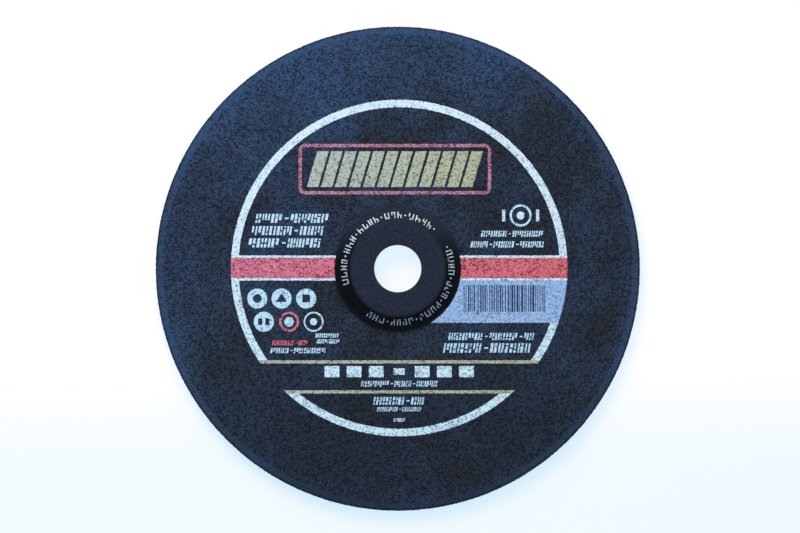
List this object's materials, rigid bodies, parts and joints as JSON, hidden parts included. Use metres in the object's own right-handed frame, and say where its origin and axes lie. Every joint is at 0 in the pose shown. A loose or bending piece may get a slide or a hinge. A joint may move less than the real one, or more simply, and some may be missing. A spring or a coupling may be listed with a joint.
{
  "type": "grinding disc",
  "caption": "Depressed-centre grinding disc of moulded grain with a raised hub, a steel ring in the bore, a nut recess under the hub and a printed label face.",
  "frame": {"origin": "on the bore's axis, in the plane of the grinding face on which the disc lies", "axes": "+Z along the bore's axis towards the label side, where the hub is raised; +X to the right of the printed label, +Y to its top"},
  "size_m": [0.23, 0.23, 0.011],
  "materials": {
    "bonded_grain": "matte",
    "ring_steel": "satin",
    "white_ink": "matte",
    "red_ink": "matte",
    "blue_ink": "matte",
    "gold_ink": "matte"
  },
  "bodies": {
    "root": {"abrasive_wheel": "bonded_grain", "bore_ring": "ring_steel", "white_print": "white_ink", "red_print": "red_ink", "blue_print": "blue_ink", "gold_print": "gold_ink"}
  },
  "joints": []
}
